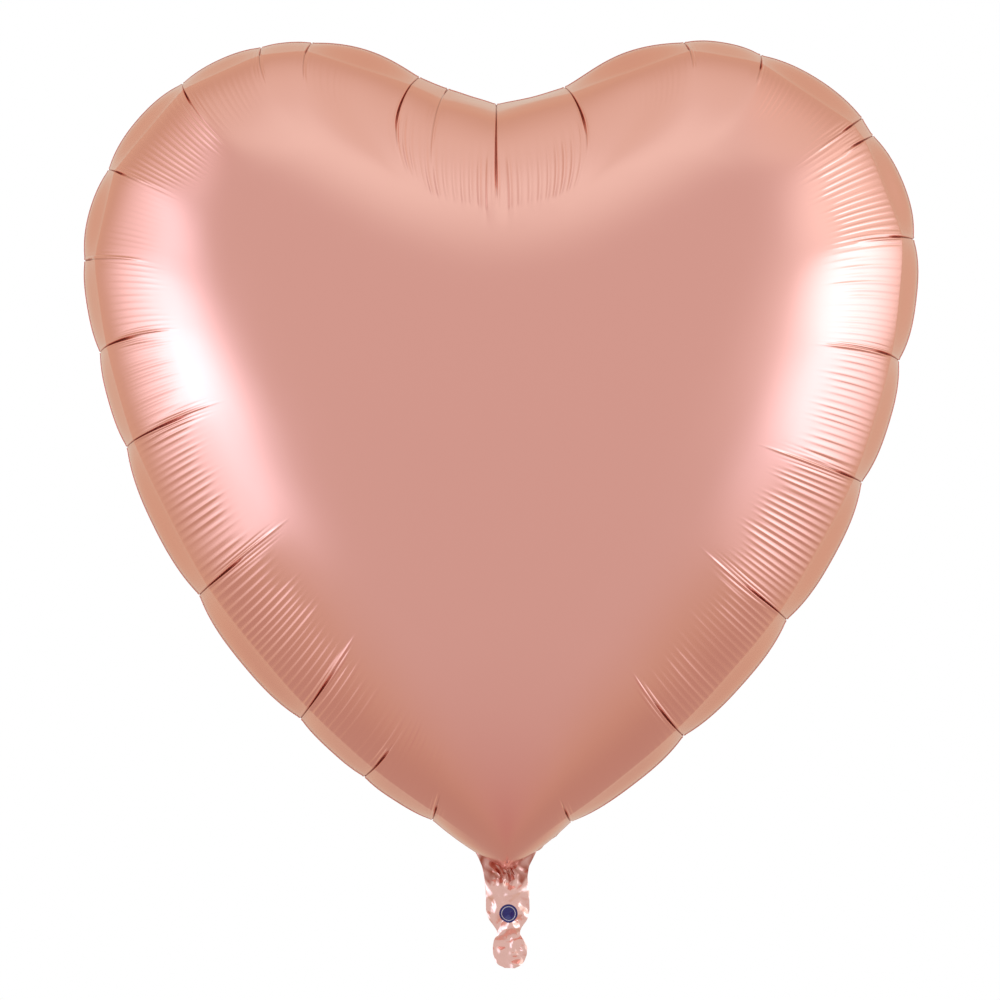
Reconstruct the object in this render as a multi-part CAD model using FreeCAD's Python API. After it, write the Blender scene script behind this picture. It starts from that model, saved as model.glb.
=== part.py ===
"""A heart-shaped foil balloon, inflated, with its flat filling tail and self-sealing valve.

Two heart-shaped sheets of metallised film are welded together round their edge. Each sheet runs on
below the heart as one half of a flat tail: a neck, a wide stretch with the filling hole, a narrow
waist and a round tip. Between the two sheets a flat sleeve of two clear films, the valve, reaches
from the wide stretch of the tail up into the gas space, and a patch of release coating keeps its
two films apart where they pass the neck.

Frame, in millimetres: +Z up, +X to the right seen from the front, the front faces -Y. The origin is
the middle of the neck, where a ribbon is tied, on the plane where the two sheets meet.
"""
import FreeCAD, Part

import math
import os

Vector = FreeCAD.Vector

# Driving dimensions of the inflated balloon
HALF_WIDTH = 347.0        # from the centre line to the inside of the weld, at the widest level
HALF_DEPTH = 195.0        # how far each panel bulges from the plane of the weld
CLEFT_Z = 645.0           # inside of the weld at the notch between the lobes
LOBE_TOP_Z = 696.5        # inside of the weld at the top of each lobe
LOBE_TOP_X = 165.0
WIDEST_Z = 524.0
POINT_Z = -3.0            # the heart's own lower point, hidden behind the neck
CROWN_CENTRE_Z = 425.0    # the level where each panel stands furthest out
WELD_WIDTH = 3.0          # flat welded edge outside the heart, at the widest level
FILM = 1.0                # drawn thickness of one sheet of film

# The tail
NECK_HALF_WIDTH = 18.0
NECK_TOP_Z = 30.0
NECK_FOLD_Z = -14.0       # the line across the neck where the tail folds
WAIST_HALF_WIDTH = 8.0
WAIST_FOLD_Z = -54.0      # the line across the waist where the tip folds
SHOULDER_Z = -38.0        # where the tail starts to narrow towards the waist
TIP_RADIUS = 14.3
TIP_END_Z = -82.5
FOLD_GAP = 4.4            # height left free at each fold, where the real film bends

# The valve, between the sheets
VALVE_HALF_WIDTH = 12.5
VALVE_TOP_Z = 95.0
VALVE_END_Z = -48.0
VALVE_FILM = 0.25
POCKET_SIDE_GAP = 0.5
COATING = 0.1
COATING_HALF_WIDTH = 10.0
COATING_TOP_Z = 45.0

# The filling hole in the back of the tail, and the printed mark on its front
HOLE_Z = -32.0
HOLE_RADIUS = 4.0
MARK_Z = -36.5
MARK_RADIUS = 7.75
MARK_THICKNESS = 0.1

CROWN_SECTIONS = 9
LAST_SECTION_DEG = 84.0   # where the smallest section lies on a quarter circle from weld to crown
SIDE_SLACK = 0.3          # how much less full than an ellipse the bulge is next to the weld
FAR = 1000.0

FRONT = -1.0
BACK = 1.0

# One half of the heart, from the notch over the lobe to the point: three Bezier curves, each given by
# its four points (x, z).
HALF_HEART = [
    [(0.0, CLEFT_Z), (82.0, 653.0), (73.0, LOBE_TOP_Z), (LOBE_TOP_X, LOBE_TOP_Z)],
    [(LOBE_TOP_X, LOBE_TOP_Z), (272.0, LOBE_TOP_Z), (HALF_WIDTH, 602.0), (HALF_WIDTH, WIDEST_Z)],
    [(HALF_WIDTH, WIDEST_Z), (HALF_WIDTH, 300.0), (190.0, 112.0), (0.0, POINT_Z)],
]


def bezier(points, y):
    """A Bezier edge through (x, z) control points on the plane at y."""
    curve = Part.BezierCurve()
    curve.setPoles([Vector(x, y, z) for x, z in points])
    return curve.toShape()


def mirrored(points):
    """The same control points on the other side of the centre line, in the opposite order."""
    return [(-x, z) for x, z in reversed(points)]


def closed_wire(half_curves, y):
    """A closed wire from the curves of the right half, which start and end on the centre line."""
    right = [bezier(points, y) for points in half_curves]
    left = [bezier(mirrored(points), y) for points in reversed(half_curves)]
    return Part.Wire(right + left)


def heart_wire(scale, y):
    """The heart's outline, scaled about the crown's centre, on the plane at y."""
    curves = [
        [(x * scale, CROWN_CENTRE_Z + (z - CROWN_CENTRE_Z) * scale) for x, z in points]
        for points in HALF_HEART
    ]
    return closed_wire(curves, y)


def bulge(angle):
    """How far an inflated sheet stands out, as a share of its full height, at that angle round the
    quarter from the weld (0) to the crown. It is an ellipse, less full next to the weld."""
    return math.sin(angle) * math.sqrt(1.0 - SIDE_SLACK * math.cos(angle) ** 2)


def crown(inset):
    """The solid under one bulging panel, facing the front, smaller all round by inset."""
    shrink = (HALF_WIDTH - inset) / HALF_WIDTH
    wires = []
    for i in range(CROWN_SECTIONS):
        angle = math.radians(LAST_SECTION_DEG) * i / (CROWN_SECTIONS - 1)
        wires.append(
            heart_wire(shrink * math.cos(angle), FRONT * bulge(angle) * (HALF_DEPTH - inset))
        )
    return Part.makeLoft(wires, True, False)


def slab(low_x, high_x, y_from, y_to, low_z, high_z):
    """A rectangular block between the given planes."""
    low_y, high_y = sorted((y_from, y_to))
    return Part.makeBox(
        high_x - low_x, high_y - low_y, high_z - low_z, Vector(low_x, low_y, low_z)
    )


def sheet_from(wire, y_from, y_to):
    """The flat sheet inside a wire drawn at y_from, as thick as the way to y_to."""
    return Part.Face(wire).extrude(Vector(0, y_to - y_from, 0))


def pocket(side):
    """The room for one film of the valve in the sheet on that side."""
    reach = VALVE_HALF_WIDTH + POCKET_SIDE_GAP
    depth = COATING / 2 + VALVE_FILM
    return slab(
        -reach, reach, 0, side * depth, VALVE_END_Z - POCKET_SIDE_GAP, NECK_TOP_Z + FAR / 10
    )


def panel():
    """The front sheet above the neck fold: the crowned heart, its welded edge and the neck."""
    edge = sheet_from(heart_wire(1.0 + WELD_WIDTH / HALF_WIDTH, 0.0), 0, FRONT * FILM)
    neck = slab(
        -NECK_HALF_WIDTH, NECK_HALF_WIDTH, 0, FRONT * FILM, NECK_FOLD_Z + FOLD_GAP / 2, NECK_TOP_Z
    )
    whole = crown(0.0).fuse(edge).fuse(neck)
    hollow = whole.cut(crown(1.2 * FILM)).cut(pocket(FRONT))
    below = slab(-FAR, FAR, -FAR, FAR, -FAR, NECK_FOLD_Z + FOLD_GAP / 2)
    return hollow.cut(below).removeSplitter()


def tail_outline(y):
    """The tail and its tip below the neck, as one closed wire."""
    shoulder_reach = (SHOULDER_Z - WAIST_FOLD_Z) * 0.6
    lobe_z = TIP_END_Z + TIP_RADIUS
    round_reach = TIP_RADIUS * 0.5523
    half = [
        [(0.0, 0.0), (6.0, 0.0), (12.0, 0.0), (NECK_HALF_WIDTH, 0.0)],
        [(NECK_HALF_WIDTH, 0.0), (NECK_HALF_WIDTH, -12.0), (NECK_HALF_WIDTH, -24.0),
         (NECK_HALF_WIDTH, SHOULDER_Z)],
        [(NECK_HALF_WIDTH, SHOULDER_Z), (NECK_HALF_WIDTH, SHOULDER_Z - shoulder_reach),
         (WAIST_HALF_WIDTH, WAIST_FOLD_Z + shoulder_reach), (WAIST_HALF_WIDTH, WAIST_FOLD_Z)],
        [(WAIST_HALF_WIDTH, WAIST_FOLD_Z), (WAIST_HALF_WIDTH, WAIST_FOLD_Z - 5.0),
         (TIP_RADIUS, lobe_z + 8.0), (TIP_RADIUS, lobe_z)],
        [(TIP_RADIUS, lobe_z), (TIP_RADIUS, lobe_z - round_reach), (round_reach, TIP_END_Z),
         (0.0, TIP_END_Z)],
    ]
    return closed_wire(half, y)


def tail_sheet(side, top_z, bottom_z):
    """One film of the tail between two levels."""
    whole = sheet_from(tail_outline(0.0), 0, side * FILM)
    return whole.common(slab(-FAR, FAR, -FAR, FAR, bottom_z, top_z))


def valve_film(side, top_z, bottom_z):
    """One of the valve's two clear films between two levels."""
    inner = side * COATING / 2
    return slab(
        -VALVE_HALF_WIDTH, VALVE_HALF_WIDTH, inner, inner + side * VALVE_FILM, bottom_z, top_z
    )


def build():
    """Every piece by its node name."""
    above_neck = NECK_FOLD_Z + FOLD_GAP / 2
    below_neck = NECK_FOLD_Z - FOLD_GAP / 2
    above_waist = WAIST_FOLD_Z + FOLD_GAP / 2
    below_waist = WAIST_FOLD_Z - FOLD_GAP / 2
    hole = Part.makeCylinder(HOLE_RADIUS, FILM + 1.0, Vector(0, COATING / 2, HOLE_Z), Vector(0, 1, 0))

    pieces = {"front_panel": panel()}
    pieces["back_panel"] = pieces["front_panel"].mirror(Vector(0, 0, 0), Vector(0, 1, 0))
    for name, side in (("front", FRONT), ("back", BACK)):
        tail = tail_sheet(side, below_neck, above_waist).cut(pocket(side))
        upper = valve_film(side, VALVE_TOP_Z, above_neck)
        lower = valve_film(side, below_neck, VALVE_END_Z)
        if side == BACK:
            tail = tail.cut(hole)
            lower = lower.cut(hole)
        pieces[f"tail_{name}_film"] = tail
        pieces[f"tip_{name}_film"] = tail_sheet(side, below_waist, -FAR)
        pieces[f"valve_{name}_film"] = upper
        pieces[f"valve_mouth_{name}_film"] = lower
    pieces["release_coating"] = slab(
        -COATING_HALF_WIDTH, COATING_HALF_WIDTH, -COATING / 2, COATING / 2, above_neck, COATING_TOP_Z
    )
    pieces["printed_mark"] = Part.makeCylinder(
        MARK_RADIUS, MARK_THICKNESS, Vector(0, FRONT * FILM, MARK_Z), Vector(0, FRONT, 0)
    )
    return pieces


def main():
    os.makedirs("parts", exist_ok=True)
    for name, shape in build().items():
        shape.exportStep(f"parts/{name}.step")
        print(
            name, "solids", len(shape.Solids), "valid", shape.isValid(), "mm3", round(shape.Volume, 2)
        )


main()
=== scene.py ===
"""The looks of an inflated heart-shaped foil balloon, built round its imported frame.

The two sheets of film are one mesh each. A mesh has columns that run from the weld inwards, spaced
closely where the film is folded, and rings that follow the weld. The smooth inflated shape comes from
a height field over the heart's outline; folds, puckers and creases are moves along its normal.
Lengths are in millimetres until a mesh is made, except those of the camera and the floor.
"""

import math
from collections import namedtuple

import bpy
import numpy as np
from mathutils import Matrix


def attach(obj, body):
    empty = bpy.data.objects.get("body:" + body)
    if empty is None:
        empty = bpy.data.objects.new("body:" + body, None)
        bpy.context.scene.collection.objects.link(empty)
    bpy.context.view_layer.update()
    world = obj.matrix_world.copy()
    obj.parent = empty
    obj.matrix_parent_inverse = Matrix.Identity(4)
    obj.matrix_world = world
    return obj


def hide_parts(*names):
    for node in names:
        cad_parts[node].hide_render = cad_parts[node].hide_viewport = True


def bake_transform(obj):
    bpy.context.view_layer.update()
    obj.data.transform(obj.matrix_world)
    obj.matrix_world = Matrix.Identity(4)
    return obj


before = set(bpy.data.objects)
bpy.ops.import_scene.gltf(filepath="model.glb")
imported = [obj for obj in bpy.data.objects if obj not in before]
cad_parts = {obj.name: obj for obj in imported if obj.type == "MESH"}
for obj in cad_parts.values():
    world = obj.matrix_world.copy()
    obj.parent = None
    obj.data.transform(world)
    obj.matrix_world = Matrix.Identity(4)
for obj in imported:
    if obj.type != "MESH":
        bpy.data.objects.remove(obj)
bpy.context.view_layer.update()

MM = 0.001
FRONT = -1.0
BACK = 1.0

# The heart, as the frame has it: the half outline from the notch over the lobe to the point
HALF_WIDTH = 347.0
HALF_DEPTH = 195.0
HALF_HEART = (
    ((0.0, 645.0), (82.0, 653.0), (73.0, 696.5), (165.0, 696.5)),
    ((165.0, 696.5), (272.0, 696.5), (HALF_WIDTH, 602.0), (HALF_WIDTH, 524.0)),
    ((HALF_WIDTH, 524.0), (HALF_WIDTH, 300.0), (190.0, 112.0), (0.0, -3.0)),
)
CENTRE = np.array((0.0, 425.0))
LEAN = -9.0 / 645.0        # the whole heart hangs slightly to the left of its neck
SIDE_SLACK = 0.3           # how much less steeply than an ellipse the bulge rises from the weld
NOTCH_FULLNESS = 11.5      # how much further the film stands out in a round patch below the notch
NOTCH_PATCH_TOP = 612.0    # the height of the middle of that patch
NOTCH_PATCH_SIZE = (75.0, 60.0)

# The mesh of one sheet
COLUMNS = 3072
RINGS = 48
FINE_RINGS = 28            # rings with every column; then every 4th, then every 16th
MIDDLE_RINGS = 38
FINE_REACH = 95.0          # how far from the weld the last fine ring lies
BAND_RINGS = (0.0, 0.015, 0.035, 0.06, 0.12, 0.25, 0.5, 0.8, 0.98)    # as shares of the edge band
COLUMN_REACH = 85.0        # how far a column heads straight on before it turns towards the centre
FIELD_START = 8.0          # nearer to the weld the openness is taken to grow evenly

# Folds across the weld: distance along the weld from the notch (right positive), slant in degrees,
# length of the dark slit, how far from the weld the streaks beyond it end, how far the weld stands
# out from the plain heart at the fold, the same midway to the next fold, and how strongly the film
# puckers from this fold to the next
Fold = namedtuple("Fold", "place slant slit reach rim bulge pucker")
FOLDS = tuple(Fold(*row) for row in (
    (-1034, -15, 16, 32, -3.6, 2.4, 0.5),
    (-967, 8, 26, 36, 3.0, 5.4, 0.9),
    (-895, -6, 38, 80, 3.0, 8.4, 0.95),
    (-762, -4, 42, 88, 2.0, 5.0, 0.9),
    (-624, -8, 54, 84, -2.2, 0.4, 0.6),
    (-541, -13, 34, 68, -2.8, 2.0, 0.45),
    (-463, 5, 6, 54, 1.0, 0.0, 0.2),
    (-382, 0, 20, 46, -4.2, -1.4, 1.0),
    (-283, 13, 24, 50, -4.6, -1.6, 0.25),
    (-208, 11, 10, 38, -2.0, -0.2, 0.1),
    (-165, 18, 12, 42, -0.8, 1.2, 0.25),
    (-69, 3, 46, 74, 1.4, 2.6, 0.9),
    (-43, 2, 5, 73, 3.0, 2.4, 1.0),
    (0, 0, 74, 92, -1.2, -0.2, 1.0),
    (59, 2, 44, 70, -2.6, -1.2, 0.12),
    (169, 20, 9, 30, -0.6, 1.4, 0.05),
    (235, 12, 16, 34, -1.6, 2.8, 0.25),
    (335, 0, 20, 54, 3.6, 2.2, 0.6),
    (352, -3, 22, 34, 1.6, 4.8, 1.0),
    (445, -2, 20, 52, 2.2, 5.8, 0.55),
    (548, -6, 24, 72, -2.2, 2.6, 0.6),
    (656, 5, 26, 86, -2.4, 4.4, 0.85),
    (789, -3, 42, 88, -0.4, 4.4, 0.75),
    (921, 1, 34, 72, -1.8, 0.6, 0.35),
    (1041, -3, 18, 32, -7.0, -2.0, 0.1),
))
EDGE_BAND = 11.0           # the smooth strip between the weld and the puckers
FACET_DEPTH = (35.0, 120.0)    # straight from fold to fold up to the first, round from the second
SLIT_DEPTH = (1.2, 3.2)    # how deep a slit is at the weld and further in
SLIT_WIDTH = (0.34, 0.76)  # half its width at the weld and at its end
LIP_HEIGHT = 0.30          # beside the slit
RIDGE_HEIGHT = 0.85        # beyond the slit
STREAK_DEPTH = 0.36
STREAK_SHIFTS = (-5.6, -2.8, 0.3, 3.1, 6.0)
PUCKER = 6.2               # from one fine pucker to the next, at the weld
PUCKER_HEIGHT = 0.32
PUCKER_END = 58.0          # how far from the weld the shortest puckers end
NOTCH_PUCKERS = 80.0       # how far to each side of the notch the puckers are longer and further in
FIN_WIDTH = 4.0            # the welded edge beyond the weld, folded back
WELD_GROOVE = -0.5         # the shallow groove beside the weld

# The tail: height, left edge and right edge of its outline
TAIL_OUTLINE = (
    (16.0, -27.0, 25.0), (9.0, -23.5, 21.5), (3.0, -21.0, 18.5), (-6.0, -19.2, 17.2),
    (-17.0, -18.0, 18.6), (-34.0, -17.7, 19.0), (-42.0, -15.0, 17.0), (-47.0, -11.2, 13.2),
    (-51.5, -8.4, 10.9), (-55.0, -8.6, 11.2), (-59.0, -11.0, 14.0), (-65.0, -12.0, 17.0),
    (-71.0, -11.8, 16.8), (-77.0, -9.6, 14.6), (-80.5, -7.0, 11.4), (-82.5, -1.0, 5.5),
)
TAIL_CREASES = 110
TAIL_SEED = 4
TAIL_CELL = 0.6            # from one row of vertices to the next
TAIL_COLUMNS = 61
TAIL_TOP = 16.0            # inside the envelope
TIP_TOP = -47.0
TIP_END = -82.5
NECK_FOLD = -14.0
WAIST_FOLD = -54.0
NECK_BEND = 6.0            # a distance above and below a fold
WAIST_BEND = 4.0
FILL_HOLE = (0.0, -32.0, 4.0)
MARK_CENTRE = (1.2, -36.4)
MARK_RADIUS = 7.75
MARK_LIFT = 0.12           # the ink lies this far in front of the film
VALVE_SIZE = (12.5, 95.0, -47.5)      # half width, top and bottom
COATING_SIZE = (10.0, 45.0, -13.0)

# Colours: plain film and the shade painted on film deep in a fold, for the heart and for its crumpled
# tail, and the rest
ROSE_GOLD = ((0.90, 0.46, 0.39), (0.22, 0.055, 0.030))
# the tail's film is the heart's film painted lighter, a painted light for the light its crumples catch,
# and its painted shade is redder
PAINTED_LIGHTER_GOLD = ((0.97, 0.62, 0.55), (0.42, 0.10, 0.06))
FILM_ROUGHNESS = (0.17, 0.25)
INK = (0.016, 0.013, 0.17)
INK_RING = (0.60, 0.58, 0.66)
CLEAR_FILM = (0.88, 0.90, 0.90, 1.0)
COATING = (0.72, 0.74, 0.76, 1.0)
PALE_FLOOR = (0.80, 0.78, 0.76, 1.0)

# The camera and the floor, in metres
EYE = (-0.0059, -4.0, 0.3113)
VIEW_HEIGHT = 0.8413       # how much of the plane of the weld the camera sees, from bottom to top
SENSOR = 36.0
FLOOR_LEVEL = -0.30
FLOOR_RADIUS = 1.6


def bezier(points, t):
    """Points at t along a cubic Bezier curve."""
    p = np.array(points)
    t = t[:, None]
    u = 1.0 - t
    return u**3 * p[0] + 3 * u * u * t * p[1] + 3 * u * t * t * p[2] + t**3 * p[3]


def smooth_step(x, low, high):
    """0 below low, 1 above high, and a smooth rise between them."""
    t = np.clip((x - low) / (high - low), 0.0, 1.0)
    return t * t * (3.0 - 2.0 * t)


def weld_line(samples=500):
    """The closed weld: signed distance from the notch, and (x, z), from the point up the left side,
    over the notch and down the right side back to the point."""
    t = np.linspace(0.0, 1.0, samples)
    half = np.vstack([bezier(curve, t[:-1]) for curve in HALF_HEART] + [[HALF_HEART[-1][-1]]])
    steps = np.linalg.norm(np.diff(half, axis=0), axis=1)
    distance = np.concatenate([[0.0], np.cumsum(steps)])
    left = half[::-1] * (-1.0, 1.0)
    return np.concatenate([-distance[::-1], distance[1:]]), np.vstack([left, half[1:]])


def column_places(length):
    """Where the columns stand along the weld: evenly, but closer at a fold, most at a long one."""
    fine = np.linspace(-length, length, 40000)
    density = np.ones_like(fine)
    for fold in FOLDS:
        density += (1.2 + fold.slit / 20.0) * np.exp(-np.abs(fine - fold.place) / 3.0)
    total = np.concatenate([[0.0], np.cumsum((density[1:] + density[:-1]) / 2 * np.diff(fine))])
    return np.interp(np.arange(COLUMNS) / COLUMNS * total[-1], total, fine)


def along(curve_s, curve, s):
    """Points of a sampled curve at distance s."""
    return np.column_stack([np.interp(s, curve_s, curve[:, i]) for i in range(curve.shape[1])])


def ring_distances(run):
    """How far each ring is from the weld along its column: some in the edge band, the rest inside it."""
    band = np.array(BAND_RINGS)[:, None] * EDGE_BAND
    inner = RINGS - len(band)
    fine = (FINE_RINGS - len(band)) / inner
    border = 1.04 * EDGE_BAND
    bend = np.log((FINE_REACH - border) / (run - border)) / math.log(fine)
    inside = (np.arange(inner)[:, None] / inner) ** np.clip(bend, 1.1, 1.9)
    return np.vstack([np.repeat(band, len(run), axis=1), border + inside * (run - border)])


def column_lines(s, weld_s, weld):
    """Every vertex in plan, [ring, column, (x, z)], how far it is from the weld along its column, and
    the direction square to the weld and inwards at each column."""
    start = along(weld_s, weld, s)
    ahead = along(weld_s, weld, np.clip(s + 2.0, weld_s[0], weld_s[-1]))
    behind = along(weld_s, weld, np.clip(s - 2.0, weld_s[0], weld_s[-1]))
    tangent = ahead - behind
    tangent /= np.linalg.norm(tangent, axis=1)[:, None]
    inward = np.column_stack([tangent[:, 1], -tangent[:, 0]])
    places = [fold.place for fold in FOLDS]
    slant = np.interp(s, places, [fold.slant * np.sign(fold.place) for fold in FOLDS])
    slant = np.radians(slant)[:, None]
    heading = np.cos(slant) * inward + np.sin(slant) * tangent
    inwards = heading[:, 0] * start[:, 0] <= 0
    room = np.where(inwards, np.abs(start[:, 0] / heading[:, 0]), np.inf)
    straight = COLUMN_REACH + 45.0 * np.exp(-(s / 60.0) ** 2) + 60.0 * smooth_step(np.abs(s), 520.0, 640.0)
    reach = (straight ** -3.0 + (0.75 * room + 0.01) ** -3.0) ** (-1.0 / 3.0)
    ahead = start + heading * reach[:, None]
    near_hub = CENTRE + 0.4 * (start - CENTRE)
    t = np.linspace(0.0, 1.0, 80)[:, None, None] ** 2
    u = 1.0 - t
    path = u**3 * start + 3 * u * u * t * ahead + 3 * u * t * t * near_hub + t**3 * CENTRE
    steps = np.linalg.norm(np.diff(path, axis=0), axis=2)
    run = np.concatenate([np.zeros((1, len(s))), np.cumsum(steps, axis=0)])
    distance = ring_distances(run[-1])
    plan = np.empty((RINGS, len(s), 2))
    for j in range(len(s)):
        for axis in (0, 1):
            plan[:, j, axis] = np.interp(distance[:, j], run[:, j], path[:, j, axis])
    return plan, distance, inward


def openness(points, weld):
    """A smooth measure of how far each point is from the weld all round it. In a disc of radius R it
    is (R*R - r*r) / (2 * R), so it grows like the distance near the weld."""
    closed = np.vstack([weld, weld[:1]])
    step = np.linalg.norm(np.diff(closed, axis=0), axis=1)
    middle = (closed[1:] + closed[:-1]) / 2
    result = np.empty(len(points))
    for i in range(0, len(points), 4000):
        gap = points[i:i + 4000, None, :] - middle[None, :, :]
        result[i:i + 4000] = math.pi / (np.maximum((gap**2).sum(axis=2), 1e-6) ** -1 @ step)
    return result


def inflated_height(plan, distance, weld):
    """How far the smooth sheet stands out from the plane of the weld."""
    coarse = weld[::3]
    field = openness(plan.reshape(-1, 2), coarse).reshape(plan.shape[:2])
    first = (distance >= FIELD_START).argmax(axis=0)
    columns = np.arange(plan.shape[1])
    scale = field[first, columns] / distance[first, columns]
    field = np.where(distance < distance[first, columns], distance * scale, field)
    top = openness(CENTRE[None, :], coarse)[0]
    share = np.clip(field / top, 0.0, None)
    height = HALF_DEPTH * np.sqrt(share * (1.0 - SIDE_SLACK + SIDE_SLACK * share))
    wide, high = NOTCH_PATCH_SIZE
    from_patch = (plan[:, :, 0] / wide) ** 2 + ((plan[:, :, 1] - NOTCH_PATCH_TOP) / high) ** 2
    return height + NOTCH_FULLNESS * np.exp(-from_patch) * smooth_step(distance, 0.0, 20.0)


def flat_edge_band(height, distance, s):
    """The height with the edge band pulled nearly straight, so that the film turns sharply at its
    border, except where both sides run into the neck."""
    edge = (distance[:, 0] >= EDGE_BAND).argmax()
    share = np.clip(distance / distance[edge], 0.0, 1.0)
    flat = np.where(share < 1.0, height[edge] * share ** 0.8, height)
    at_neck = smooth_step(np.abs(s), s[-1] - 110.0, s[-1] - 20.0)
    return flat + (height - flat) * at_neck


def facet_pull(s, distance, weld_s, weld):
    """How far the sheet is drawn in, so that it runs straight from each fold to the next."""
    length = weld_s[-1]
    fine = np.arange(-length, length, 0.5)
    corners = [-length] + [fold.place for fold in FOLDS] + [length]
    start = along(weld_s, weld, fine)
    dips = np.zeros(len(fine))
    for first, last in zip(corners[:-1], corners[1:]):
        ends = along(weld_s, weld, np.array((first, last)))
        chord = (ends[1] - ends[0]) / np.linalg.norm(ends[1] - ends[0])
        outside = (start - ends[0]) @ np.array((-chord[1], chord[0]))
        dips = np.where((fine >= first) & (fine < last), outside, dips)
    pull = smooth_step(distance, 0.0, EDGE_BAND) * (1 - smooth_step(distance, *FACET_DEPTH))
    return pull * softened(dips, fine, s, distance * 0.5)


def surface_normals(base, inward):
    """Unit normals of the smooth front sheet, pointing out of the balloon."""
    across = np.roll(base, -1, axis=1) - np.roll(base, 1, axis=1)
    across[:, 0] = base[:, 1] - base[:, 0]
    across[:, -1] = base[:, -1] - base[:, -2]
    up = np.gradient(base, axis=0)
    normal = np.cross(across, up)
    normal /= np.linalg.norm(normal, axis=2)[:, :, None]
    normal *= np.sign(-(normal[RINGS // 2, :, 1].mean()))
    normal[0] = np.column_stack([-inward[:, 0], np.zeros(len(inward)), -inward[:, 1]])
    return normal


def wave_noise(s, length, step, rng):
    """A random value at each place, drawn every step along the weld and joined up smoothly."""
    count = int(2 * length / step) + 3
    values = rng.uniform(0.0, 1.0, count)
    x = (s + length) / step
    i = np.floor(x).astype(int)
    f = x - i
    f = f * f * (3 - 2 * f)
    return values[i] * (1 - f) + values[i + 1] * f


def softened(line, fine, s, distance):
    """A line of values along the weld, sharp at the weld and ever softer further in from it."""
    frequency = np.fft.rfftfreq(len(fine), fine[1] - fine[0])
    spectrum = np.fft.rfft(line)
    depths = (0.0, 5.0, 14.0, 30.0, 60.0, 110.0)
    level = np.zeros_like(distance)
    for i, depth in enumerate(depths):
        softness = 0.3 + 0.32 * depth
        blurred = np.fft.irfft(spectrum * np.exp(-2 * (math.pi * softness * frequency) ** 2), len(fine))
        near = depths[i - 1] if i else -1.0
        far = depths[i + 1] if i + 1 < len(depths) else 1e9
        rising = np.clip((distance - near) / (depth - near), 0.0, 1.0)
        falling = np.clip((far - distance) / (far - depth), 0.0, 1.0)
        level += np.interp(s, fine, blurred) * np.minimum(rising, falling)
    return level


def scallops(s, distance, length):
    """How far the film stands out from the plain heart at the folds and between them."""
    fine = np.arange(-length, length, 0.5)
    line = np.zeros_like(fine)
    for i, fold in enumerate(FOLDS):
        following = FOLDS[(i + 1) % len(FOLDS)]
        turn = 0 if following.place > fold.place else 2 * length
        share = ((fine - fold.place) % (2 * length)) / (following.place + turn - fold.place)
        arch = 1.0 - np.abs(2.0 * share - 1.0) ** 3
        straight = fold.rim + (following.rim - fold.rim) * share
        rise = fold.bulge - (fold.rim + following.rim) / 2
        line += np.where(share < 1.0, straight + rise * arch, 0.0)
    fading = 0.85 * np.exp(-distance / 12.0) + 0.15 * np.exp(-distance / 60.0)
    return softened(line, fine, s, distance) * fading


def fold_moves(s, distance, spread, length, rng, vary):
    """The folds: how far each vertex moves out along its normal, and how deep in a fold it lies, as the
    strength of the shade painted into its colour.
    """
    move = scallops(s, distance, length)
    shade = np.zeros_like(distance)
    narrow, wide = SLIT_WIDTH
    shallow, deep = SLIT_DEPTH
    for fold in FOLDS:
        slit = fold.slit * (1 + vary * rng.uniform(-0.35, 0.35))
        reach = fold.reach * (1 + vary * rng.uniform(-0.3, 0.3))
        bow = rng.uniform(-1.6, 1.6)
        offset = (s - fold.place + length) % (2 * length) - length
        fanning = spread[:, np.argmin(np.abs(offset))][:, None]
        # the slit where the crease closes on itself, thin at the weld and wider further in
        inside = distance / slit
        width = narrow + (wide - narrow) * np.clip(inside, 0.0, 1.0) ** 2
        closed = 1 - smooth_step(distance, 0.75 * slit, 1.25 * slit)
        line = offset[None, :] * fanning - bow * smooth_step(distance, 0.0, 60.0)
        groove = np.exp(-(np.abs(line) / width) ** 1.6)
        move -= (shallow + (deep - shallow) * smooth_step(inside, 0.0, 0.6)) * closed * groove
        # painted shade: dark along the slit, then a fainter painted dark line from its end to where the
        # streaks end
        core = np.exp(-(line / (0.8 * width)) ** 2) * closed * (1 - 0.35 * np.clip(inside, 0, 1) ** 2)
        tail = 0.5 * np.exp(-(line / 0.45) ** 2) * (1 - smooth_step(distance, slit, reach))
        shade = np.maximum(shade, np.maximum(core, tail * smooth_step(inside, 0.6, 1.0)))
        lip = np.exp(-((np.abs(line) - width - 0.9) / 0.7) ** 2)
        move += LIP_HEIGHT * lip * closed
        ridge = smooth_step(inside, 0.6, 1.0) * (1 - smooth_step(distance, 0.75 * reach, 1.1 * reach))
        move += RIDGE_HEIGHT * ridge * np.exp(-((line - 1.5) / 1.0) ** 2)
        # shallow streaks beside and beyond the slit
        beside = smooth_step(distance, 0.35 * slit, slit) * (1 - smooth_step(distance, slit, reach))
        for shift in STREAK_SHIFTS:
            streak = line - shift * (1 + 0.002 * distance)
            move -= STREAK_DEPTH * beside * np.exp(-(streak / 0.8) ** 2)
    return move, shade


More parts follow.
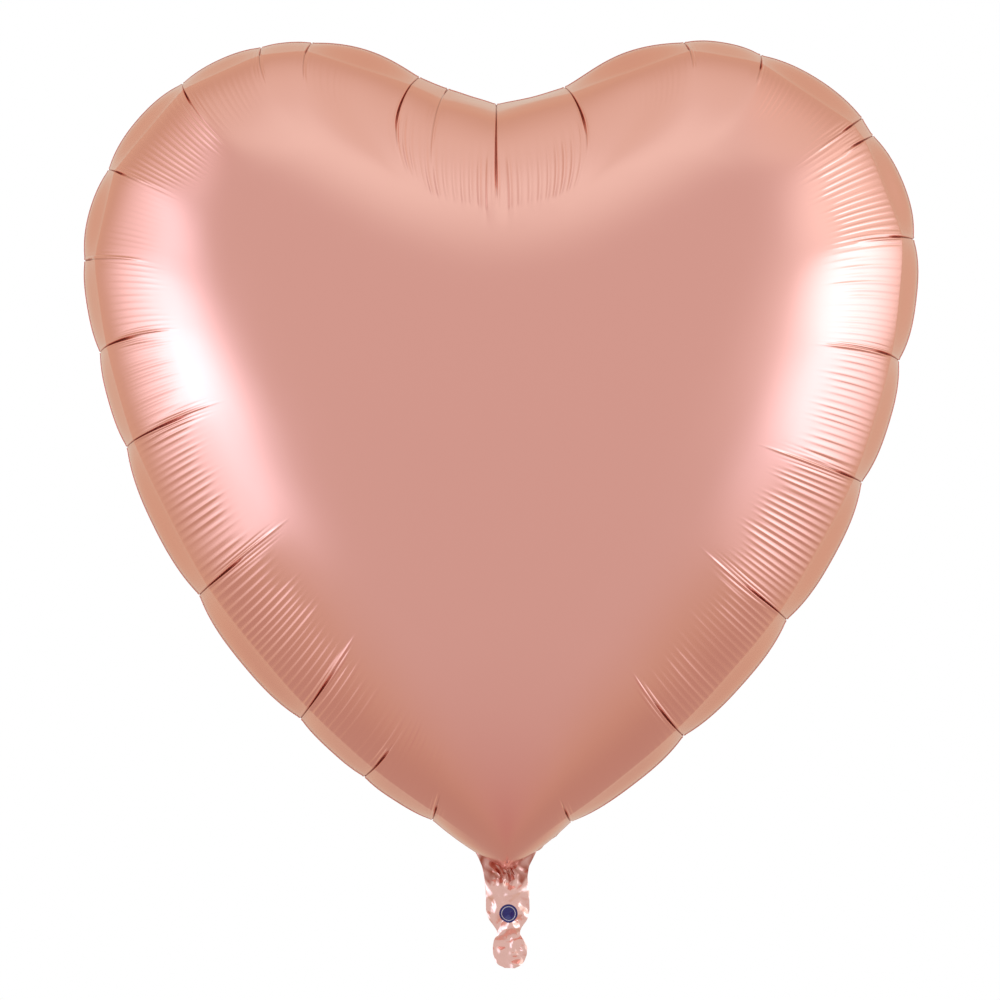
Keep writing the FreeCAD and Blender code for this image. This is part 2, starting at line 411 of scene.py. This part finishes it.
def pucker_moves(s, distance, length, rng):
    """The fine puckers that run straight in from the edge band between the folds."""
    slow = 0.24 * wave_noise(s, length, 55.0, rng)
    quick = 0.36 * wave_noise(s, length, 9.0, rng)
    spacing = PUCKER * (0.74 + slow + quick)
    phase = np.concatenate([[0.0], np.cumsum(np.diff(s) / spacing[1:])]) * 2 * math.pi
    last_fold = np.searchsorted([fold.place for fold in FOLDS], s, side="right") - 1
    facet = np.array([fold.pucker for fold in FOLDS])[last_fold]
    patch = 0.65 + 0.35 * wave_noise(s, length, 40.0, rng)
    strength = PUCKER_HEIGHT * facet * patch * (0.45 + 0.85 * wave_noise(s, length, 6.0, rng))
    notch = np.exp(-(s / NOTCH_PUCKERS) ** 4)
    strength = strength * (1 + 1.1 * notch)
    ragged = 14.0 * wave_noise(s, length, 7.0, rng) + 12.0 * wave_noise(s, length, 90.0, rng)
    end = PUCKER_END + ragged + 38.0 * notch
    start = EDGE_BAND - 1.0 + 34.0 * notch
    window = smooth_step(distance, start, start + 3.0 + 14.0 * notch)
    window = window * (1 - smooth_step(distance, end - 22.0, end))
    window *= 0.8 + 0.2 * smooth_step(distance, start, start + 25.0)
    wave = np.sin(phase + 0.4 * np.sin(distance / 21.0))
    return strength * window * (wave - 0.25 * np.cos(2 * phase))


def mesh_object(name, verts, faces):
    """A mesh object from millimetre coordinates."""
    mesh = bpy.data.meshes.new(name)
    mesh.from_pydata((np.asarray(verts) * MM).tolist(), [], faces)
    mesh.validate()
    mesh.update()
    mesh.shade_smooth()
    piece = bpy.data.objects.new(name, mesh)
    bpy.context.scene.collection.objects.link(piece)
    return piece


def vertex_values(piece, name, values):
    """Gives each vertex of a piece a value that its material reads."""
    layer = piece.data.attributes.new(name, "FLOAT", "POINT")
    layer.data.foreach_set("value", np.asarray(values, np.float32).ravel())


def sheet_faces():
    """The faces of one sheet. Vertices are numbered ring by ring, fewer columns in the inner rings."""
    counts = [COLUMNS if k <= FINE_RINGS else COLUMNS // 4 if k <= MIDDLE_RINGS else COLUMNS // 16
              for k in range(RINGS)]
    starts = np.concatenate([[0], np.cumsum(counts)])
    faces = []
    for k in range(RINGS - 1):
        outer, inner = counts[k], counts[k + 1]
        ratio = outer // inner
        for j in range(inner):
            near, far = j * ratio, (j + 1) * ratio
            low, high = starts[k + 1] + j, starts[k + 1] + (j + 1) % inner
            if ratio == 1:
                faces.append((starts[k] + near, starts[k] + far % outer, high, low))
                continue
            rim = [starts[k] + i % outer for i in range(near, far + 1)]
            middle = ratio // 2
            faces += [(rim[i], rim[i + 1], low) for i in range(middle)]
            faces.append((rim[middle], high, low))
            faces += [(rim[i], rim[i + 1], high) for i in range(middle, ratio)]
    hub = starts[RINGS]
    last = starts[RINGS - 1]
    faces += [(last + j, last + (j + 1) % counts[-1], hub) for j in range(counts[-1])]
    return [tuple(int(i) for i in face) for face in faces], counts


def film_sheet(name, side, base, normal, move, shade):
    """One sheet of film, from the smooth front sheet, its normals and how far the film moves."""
    points = base + normal * move[:, :, None]
    faces, counts = sheet_faces()
    rows = [points[k, ::COLUMNS // count] for k, count in enumerate(counts)]
    hub = np.array([[CENTRE[0], -HALF_DEPTH, CENTRE[1]]])
    verts = np.vstack(rows + [hub])
    verts[:, 1] *= -side
    verts[:, 0] += LEAN * verts[:, 2]
    if side == BACK:
        faces = [face[::-1] for face in faces]
    sheet = mesh_object(name, verts, faces)
    # the painted shade of each vertex, which the film's material mixes into its colour
    depth = [shade[k, ::COLUMNS // count] for k, count in enumerate(counts)] + [[0.0]]
    vertex_values(sheet, "painted_fold_shade", np.concatenate(depth))
    return sheet


# ---- neck and tail ---------------------------------------------------------------------------------

def triangle_wave(x):
    """A wave of straight flanks between -1 and 1."""
    return 2.0 / math.pi * np.arcsin(np.sin(2.0 * math.pi * x))


def tail_edges(z):
    """The left and right edge of the tail at each height, with soft corners."""
    fine = np.arange(-90.0, 30.0, 0.25)
    heights, left, right = np.array(TAIL_OUTLINE).T
    kernel = np.ones(11) / 11
    edges = []
    for side in (left, right):
        line = np.interp(fine, heights[::-1], side[::-1])
        line = np.convolve(np.pad(line, 5, mode="edge"), kernel, mode="valid")
        edges.append(np.interp(z, fine, line))
    return edges


def tail_middle(x, z):
    """How far the middle between the two films of the crumpled tail is from the plane of the weld."""
    rng = np.random.default_rng(TAIL_SEED)
    broad_crease = 1.3 * triangle_wave((0.8 * x + 0.35 * z) / 46.0 + 0.05)
    curl = 4.0 * np.sin((z - TIP_END) / 16.0) * smooth_step(-z, 34.0, 60.0)
    height = broad_crease + curl
    for _ in range(TAIL_CREASES):
        across, up = rng.uniform(-16.0, 16.0), rng.uniform(-84.0, 2.0)
        angle = rng.uniform(0.0, math.pi)
        slope = rng.choice((-1.0, 1.0)) * rng.uniform(0.12, 0.42)
        size = rng.uniform(2.5, 10.0)
        from_line = (x - across) * math.cos(angle) + (z - up) * math.sin(angle)
        from_spot = np.hypot(x - across, z - up) / size
        kink = np.sqrt(from_line**2 + 0.04) - 0.55 * size
        height = height + slope * kink * np.exp(-from_spot**4)
    return height * (1 - smooth_step(z, -2.0, 12.0))


def gathers(x, z, side):
    """The pleats where the film is drawn together at the neck."""
    uneven = 0.25 * np.sin(z / 3.1) + 0.6 * np.sin(x / 4.7)
    fine = 0.8 * triangle_wave((x + 0.3 * z) / 5.2 + 0.3 * side + uneven)
    uneven = 0.2 * np.sin(z / 4.3) + 0.3 * np.sin(x / 6.1 + 1.0)
    broad = 0.7 * triangle_wave((x - 0.6 * z) / 11.0 + 0.2 + uneven)
    return smooth_step(z, -16.0, -7.0) * (fine + broad)


def neck_shade(x, z, side):
    """How deep in the gathers of the neck each place of the tail lies, from 0 to 1, as the strength of the
    shade painted into its colour there.
    """
    ragged = 3.0 * triangle_wave((x + 0.2 * z) / 9.0 + 0.1)
    depth = 0.68 - 0.25 * gathers(x, z, side)
    return np.clip(depth, 0.0, 1.0) * smooth_step(z + ragged, -11.5, -7.5)


def tail_surface(x, z, side):
    """The distance of one film of the tail from the plane of the weld."""
    left, right = tail_edges(z)
    across = np.clip((2 * x - left - right) / (right - left), -1.0, 1.0)
    belly = (1 - across**2) ** 0.6 * smooth_step(z, TIP_END, TIP_END + 5.0)
    opening = 1.2 + 3.0 * np.exp(-((z + 16.0) / 8.0) ** 2) + 3.0 * smooth_step(z, 5.0, 16.0)
    pleats = gathers(x, z, side)
    slanting = 0.5 * triangle_wave((x + 0.7 * z) / 19.0 + 0.2 * side)
    upright = 0.35 * triangle_wave((x + 2.0) / 27.0)
    return tail_middle(x, z) + side * (0.1 + belly * (opening + slanting + upright + pleats))


def grid_faces(rows, columns):
    """The faces of a grid of vertices numbered row by row."""
    return [(i * columns + j, i * columns + j + 1, (i + 1) * columns + j + 1, (i + 1) * columns + j)
            for i in range(rows - 1) for j in range(columns - 1)]


def tail_film(name, top, bottom, side, hole=None):
    """One film of the tail between two heights; hole is the centre and radius of a hole in it."""
    rows = int(round((top - bottom) / TAIL_CELL)) + 1
    columns = TAIL_COLUMNS
    z = np.linspace(top, bottom, rows)[:, None] + np.zeros((1, columns))
    left, right = tail_edges(z)
    u = np.linspace(-1.0, 1.0, columns)[None, :]
    x = (left + right) / 2 + (right - left) / 2 * np.sin(u * math.pi / 2)
    faces = grid_faces(rows, columns)
    if hole:
        across, up, radius = hole
        away = np.hypot(x - across, z - up)
        inside = away < radius
        flat = inside.ravel()
        faces = [face for face in faces if not all(flat[i] for i in face)]
        # the vertices round the cells left out are moved on to the rim of the hole
        open_cells = np.zeros((rows, columns), bool)
        for i in range(rows - 1):
            for j in range(columns - 1):
                if inside[i:i + 2, j:j + 2].all():
                    open_cells[i:i + 2, j:j + 2] = True
        stretch = np.where(open_cells, radius / np.maximum(away, 0.1), 1.0)
        x = across + (x - across) * stretch
        z = up + (z - up) * stretch
    y = tail_surface(x, z, side)
    verts = np.stack([x, y, z], axis=2).reshape(-1, 3)
    if side == BACK:
        faces = [face[::-1] for face in faces]
    film = mesh_object(name, verts, faces)
    # painted shade in the gathers of the neck, which the film's material mixes into its colour
    vertex_values(film, "painted_fold_shade", neck_shade(x, z, side))
    return film


def inner_strip(name, half_width, top, bottom, offset):
    """A strip of film between the two films of the tail, following its crumples."""
    z = np.arange(top, bottom - 0.01, -1.5)[:, None] + np.zeros((1, 15))
    left, right = tail_edges(np.minimum(z, 25.0))
    x = np.linspace(-half_width, half_width, 15)[None, :] + np.zeros_like(z)
    x = np.clip(x, left + 1.5, right - 1.5)
    verts = np.stack([x, tail_middle(x, z) + offset, z], axis=2).reshape(-1, 3)
    return mesh_object(name, verts, grid_faces(*z.shape))


def printed_mark(name):
    """The round printed mark, lying on the front film of the tail."""
    across, up = MARK_CENTRE
    radii = np.linspace(0.0, MARK_RADIUS, 32)[1:]
    angles = np.linspace(0.0, 2 * math.pi, 72, endpoint=False)
    r, a = np.meshgrid(radii, angles, indexing="ij")
    x = np.concatenate([[across], (across + r * np.cos(a)).ravel()])
    z = np.concatenate([[up], (up + r * np.sin(a)).ravel()])
    verts = np.column_stack([x, tail_surface(x, z, FRONT) - MARK_LIFT, z])
    n = len(angles)
    faces = [(0, 1 + j, 1 + (j + 1) % n) for j in range(n)]
    for i in range(len(radii) - 1):
        ring = 1 + i * n
        faces += [(ring + j, ring + n + j, ring + n + (j + 1) % n, ring + (j + 1) % n)
                  for j in range(n)]
    mark = mesh_object(name, verts, faces)
    vertex_values(mark, "radius", np.concatenate([[0.0], r.ravel()]))
    return mark


def weld_fin(name, points, arc, normal, s, length, rng):
    """The narrow welded edge, folded over on to the back sheet."""
    places = np.linspace(0.0, FIN_WIDTH, 5)
    picked = np.arange(0, len(s), 2)
    ruffle = wave_noise(s, length, 3.2, rng) * wave_noise(s, length, 21.0, rng) ** 2
    layers = []
    for lift, order in ((1.0, places), (0.0, places[::-1])):
        for place in order:
            spot = np.empty((len(picked), 3))
            out = np.empty((len(picked), 3))
            for axis in range(3):
                for i, j in enumerate(picked):
                    spot[i, axis] = np.interp(place, arc[:, j], points[:, j, axis])
                    out[i, axis] = np.interp(place, arc[:, j], normal[:, j, axis])
            rise = 0.1 + lift * 0.35 + (place / FIN_WIDTH) ** 1.5 * 1.6 * ruffle[picked]
            layers.append(spot + out * rise[:, None])
    loop, n = len(layers), len(picked)
    verts = np.stack(layers).reshape(-1, 3)
    faces = [(i * n + j, i * n + (j + 1) % n, (i + 1) % loop * n + (j + 1) % n, (i + 1) % loop * n + j)
             for i in range(loop) for j in range(n)]
    return mesh_object(name, verts, faces)


# ---- materials -------------------------------------------------------------------------------------

class Maths:
    """Adds maths and colour nodes to a node tree."""

    def __init__(self, tree):
        self.tree = tree

    def node(self, operation, *values):
        """The result of one maths operation on numbers or sockets."""
        made = self.tree.nodes.new("ShaderNodeMath")
        made.operation = operation
        for i, value in enumerate(values):
            if isinstance(value, (int, float)):
                made.inputs[i].default_value = value
            else:
                self.tree.links.new(value, made.inputs[i])
        return made.outputs[0]

    def step(self, value, low, high):
        """A smooth rise from 0 at low to 1 at high, or a fall if high is below low."""
        made = self.tree.nodes.new("ShaderNodeMapRange")
        made.interpolation_type = "SMOOTHSTEP"
        rising = high > low
        self.tree.links.new(value, made.inputs["Value"])
        made.inputs["From Min"].default_value = low if rising else high
        made.inputs["From Max"].default_value = high if rising else low
        made.inputs["To Min"].default_value = 0.0 if rising else 1.0
        made.inputs["To Max"].default_value = 1.0 if rising else 0.0
        return made.outputs["Result"]

    def add(self, colour, share, tint):
        """A colour plus a share of a tint."""
        scaled = self.mix(share, (0.0, 0.0, 0.0), tint)
        made = self.tree.nodes.new("ShaderNodeVectorMath")
        made.operation = "ADD"
        self.tree.links.new(colour, made.inputs[0])
        self.tree.links.new(scaled, made.inputs[1])
        return made.outputs[0]

    def mix(self, share, first, second):
        """A colour between two colours."""
        made = self.tree.nodes.new("ShaderNodeMix")
        made.data_type = "RGBA"
        for socket, value in ((made.inputs[0], share), (made.inputs[6], first), (made.inputs[7], second)):
            if isinstance(value, tuple):
                socket.default_value = (*value, 1.0)
            elif isinstance(value, (int, float)):
                socket.default_value = value
            else:
                self.tree.links.new(value, socket)
        return made.outputs[2]


def node_material(name):
    """An empty node material with a Principled shader."""
    material = bpy.data.materials.new(name)
    material.use_nodes = True
    return material, material.node_tree, material.node_tree.nodes["Principled BSDF"]


def link(tree, source, target):
    """Joins two sockets."""
    tree.links.new(source, target)


def range_node(tree, value, low, high):
    """Maps 0..1 to low..high."""
    made = tree.nodes.new("ShaderNodeMapRange")
    link(tree, value, made.inputs["Value"])
    made.inputs["To Min"].default_value = low
    made.inputs["To Max"].default_value = high
    return made.outputs["Result"]


def foil_material(name, colour, painted_shade_colour):
    """Metallised film: a slightly blurred mirror, with shade painted into its colour where a fold closes
    on itself.
    """
    material, tree, shader = node_material(name)
    painted_fold_shade = tree.nodes.new("ShaderNodeAttribute")
    painted_fold_shade.attribute_name = "painted_fold_shade"
    inside = painted_fold_shade.outputs["Fac"]
    noise = tree.nodes.new("ShaderNodeTexNoise")
    noise.inputs["Scale"].default_value = 14.0
    noise.inputs["Detail"].default_value = 3.0
    rough = range_node(tree, noise.outputs["Fac"], *FILM_ROUGHNESS)
    link(tree, rough, shader.inputs["Roughness"])
    # painted shade: the colour goes towards the dark shade colour as deep as a vertex lies in a fold or in
    # the gathers of the neck
    link(tree, Maths(tree).mix(inside, colour, painted_shade_colour), shader.inputs["Base Color"])
    shader.inputs["Metallic"].default_value = 1.0
    return material


def valve_material():
    """Clear, slightly milky film."""
    material, _, shader = node_material("clear_film")
    shader.inputs["Base Color"].default_value = CLEAR_FILM
    shader.inputs["Roughness"].default_value = 0.15
    shader.inputs["Transmission Weight"].default_value = 0.85
    return material


def coating_material():
    """The dull coating that keeps the valve films apart."""
    material, _, shader = node_material("release_coating")
    shader.inputs["Base Color"].default_value = COATING
    shader.inputs["Roughness"].default_value = 0.8
    return material


def mark_material():
    """Deep blue glossy ink with a thin pale ring."""
    material, tree, shader = node_material("blue_ink")
    radius = tree.nodes.new("ShaderNodeAttribute")
    radius.attribute_name = "radius"
    maths = Maths(tree)
    ring = maths.node("COMPARE", radius.outputs["Fac"], 0.74 * MARK_RADIUS, 0.3)
    link(tree, maths.mix(ring, INK, INK_RING), shader.inputs["Base Color"])
    shader.inputs["Roughness"].default_value = 0.35
    return material


# ---- light -----------------------------------------------------------------------------------------

def studio_light():
    """A white studio: soft boxes left and right, a soft top light and a dimmer front and floor. Every
    part of it is placed by the direction it lies in from the balloon, in degrees: turn to the right
    from straight in front, lift above level, and behind as the angle from straight in front."""
    world = bpy.data.worlds.new("studio")
    bpy.context.scene.world = world
    world.use_nodes = True
    tree = world.node_tree
    maths = Maths(tree)
    direction = tree.nodes.new("ShaderNodeTexCoord")
    split = tree.nodes.new("ShaderNodeSeparateXYZ")
    tree.links.new(direction.outputs["Generated"], split.inputs[0])
    x, y, z = split.outputs
    degrees = 180.0 / math.pi
    front = maths.node("MULTIPLY", y, -1.0)
    turn = maths.node("MULTIPLY", maths.node("ARCTAN2", x, front), degrees)
    lift = maths.node("MULTIPLY", maths.node("ARCSINE", z), degrees)
    behind = maths.node("MULTIPLY", maths.node("ARCCOSINE", front), degrees)

    # the walls, then the top light and the floor
    colour = maths.mix(maths.step(behind, 60.0, 100.0), (0.72, 0.68, 0.67), (0.67, 0.56, 0.44))
    overhead = maths.node("ADD", maths.node("MULTIPLY", maths.step(behind, 134.0, 90.0), 0.54),
                          maths.node("MULTIPLY", maths.step(behind, 86.0, 66.0), 0.46))
    above = maths.node("MULTIPLY", maths.step(lift, 46.0, 69.0), overhead)
    colour = maths.mix(above, colour, (1.0, 1.12, 1.10))
    colour = maths.mix(maths.step(lift, -42.0, -95.0), colour, (0.59, 0.40, 0.38))

    left = maths.node("MULTIPLY", turn, -1.0)
    # soft boxes: side, tint, where the box starts and ends in turn, then in lift
    boxes = (
        (left, (0.85, 1.13, 1.53), (52.0, 82.0), (125.0, 65.0), (-35.0, -27.0), (64.0, 4.0)),
        (left, (1.25, 1.71, 2.21), (52.0, 82.0), (122.0, 61.0), (-22.0, -12.0), (12.0, -22.0)),
        (turn, (0.50, 0.66, 0.73), (43.0, 81.0), (147.0, 93.0), (-27.0, 9.0), (73.0, 19.0)),
        (turn, (1.00, 1.35, 1.80), (58.0, 87.0), (134.0, 80.0), (-35.0, -13.0), (11.0, 7.0)),
    )
    for side, tint, *edges in boxes:
        share = 1.0
        for angle, (gone, full) in zip((side, side, lift, lift), edges):
            share = maths.node("MULTIPLY", share, maths.step(angle, gone, full))
        colour = maths.add(colour, share, tint)
    # the room behind the boxes starts at a sharp edge
    far = maths.mix(maths.step(lift, 5.0, -35.0), (0.74, 0.74, 0.64), (0.68, 0.59, 0.48))
    room = maths.mix(maths.step(behind, 140.0, 165.0), (0.72, 0.60, 0.46), far)
    colour = maths.mix(maths.step(behind, 123.0, 127.0), colour, room)

    # the floor beside and behind the balloon is dimmer
    dim = maths.node("MULTIPLY", maths.step(lift, -22.0, -40.0), maths.step(behind, 85.0, 106.0))
    colour = maths.mix(dim, colour, (0.58, 0.45, 0.39))

    # the backdrop is white
    path = tree.nodes.new("ShaderNodeLightPath")
    background = tree.nodes["Background"]
    seen = maths.mix(path.outputs["Is Camera Ray"], colour, (1.0, 1.0, 1.0))
    tree.links.new(seen, background.inputs["Color"])


def camera():
    """A long lens straight in front of the balloon."""
    data = bpy.data.cameras.new("camera")
    eye = bpy.data.objects.new("camera", data)
    bpy.context.scene.collection.objects.link(eye)
    data.sensor_width = SENSOR
    data.lens = SENSOR * -EYE[1] / VIEW_HEIGHT
    data.clip_end = 100.0
    eye.location = EYE
    eye.rotation_euler = (math.radians(90.0), 0.0, 0.0)
    bpy.context.scene.camera = eye


def floor():
    """A plain pale floor under the balloon, which its film doesn't mirror."""
    bpy.ops.mesh.primitive_circle_add(vertices=96, radius=FLOOR_RADIUS, fill_type="NGON",
                                      location=(0, 0, FLOOR_LEVEL))
    plate = bpy.context.object
    plate.name = "floor"
    material, _, shader = node_material("pale_floor")
    shader.inputs["Base Color"].default_value = PALE_FLOOR
    shader.inputs["Roughness"].default_value = 0.9
    plate.data.materials.append(material)
    plate.visible_glossy = False


# ---- the balloon -----------------------------------------------------------------------------------

def envelope(foil):
    """The two sheets of the heart and their welded edge."""
    weld_s, weld = weld_line()
    length = weld_s[-1]
    s = column_places(length)
    plan, distance, inward = column_lines(s, weld_s, weld)
    height = flat_edge_band(inflated_height(plan, distance, weld), distance, s)
    plan = plan + inward * facet_pull(s, distance, weld_s, weld)[:, :, None]
    base = np.stack([plan[:, :, 0], -height, plan[:, :, 1]], axis=2)
    normal = surface_normals(base, inward)
    steps = np.linalg.norm(np.diff(base, axis=0), axis=2)
    arc = np.concatenate([np.zeros((1, len(s))), np.cumsum(steps, axis=0)])
    gaps = np.linalg.norm(np.roll(plan, -1, axis=1) - plan, axis=2)
    gaps[:, -1] = gaps[:, -2]
    spread = gaps / gaps[0]
    groove = WELD_GROOVE * np.exp(-((arc - 3.0) / 1.3) ** 2)
    for name, side, seed, vary in (("film_front", FRONT, 11, 0.0), ("film_back", BACK, 23, 1.0)):
        rng = np.random.default_rng(seed)
        move, shade = fold_moves(s, distance, spread, length, rng, vary)
        move += groove + pucker_moves(s, distance, length, rng)
        sheet = film_sheet(name, side, base, normal, move, shade)
        sheet.data.materials.append(foil)
        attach(sheet, "envelope")
        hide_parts(name.split("_")[1] + "_panel")
    # the welded edge lies on the back sheet
    points = base + normal * move[:, :, None]
    mirror = np.array((1.0, -1.0, 1.0))
    points = points * mirror
    points[:, :, 0] += LEAN * points[:, :, 2]
    fin = weld_fin("weld_fin", points, arc, normal * mirror, s, length, np.random.default_rng(5))
    fin.data.materials.append(foil)
    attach(fin, "envelope")


def bend(piece, first, second, height, reach, slot):
    """Bakes the piece's transform into its mesh."""
    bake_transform(piece)


def neck_and_tail(foil):
    """The neck, the tail and its round end, with the valve inside and the mark on the front."""
    for name, side in (("front", FRONT), ("back", BACK)):
        hole = FILL_HOLE if side == BACK else None
        upper = tail_film("tail_" + name, TAIL_TOP, TIP_TOP, side, hole)
        upper.data.materials.append(foil)
        bend(upper, "envelope", "tail", NECK_FOLD, NECK_BEND, "metallised_film")
        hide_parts("tail_" + name + "_film")
        lower = tail_film("tip_" + name, TIP_TOP, TIP_END, side)
        lower.data.materials.append(foil)
        bend(lower, "tail", "tail_tip", WAIST_FOLD, WAIST_BEND, "metallised_film")
        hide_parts("tip_" + name + "_film")
        valve = inner_strip("valve_" + name, *VALVE_SIZE, 0.07 * side)
        valve.data.materials.append(valve_material())
        bend(valve, "envelope", "tail", NECK_FOLD, NECK_BEND, "clear_valve_film")
        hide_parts("valve_" + name + "_film", "valve_mouth_" + name + "_film")
    coating = inner_strip("coating", *COATING_SIZE, 0.0)
    coating.data.materials.append(coating_material())
    bend(coating, "envelope", "tail", NECK_FOLD, NECK_BEND, "release_coating")
    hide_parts("release_coating")
    mark = printed_mark("mark")
    mark.data.materials.append(mark_material())
    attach(mark, "tail")
    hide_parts("printed_mark")


def main():
    """Builds the balloon and its studio."""
    bpy.context.scene.view_settings.view_transform = "Standard"
    envelope(foil_material("rose_gold_film", *ROSE_GOLD))
    # the tail's film is painted lighter, standing in for the light its crumples catch
    neck_and_tail(foil_material("crumpled_film_painted_lighter", *PAINTED_LIGHTER_GOLD))
    floor()
    studio_light()
    camera()


main()
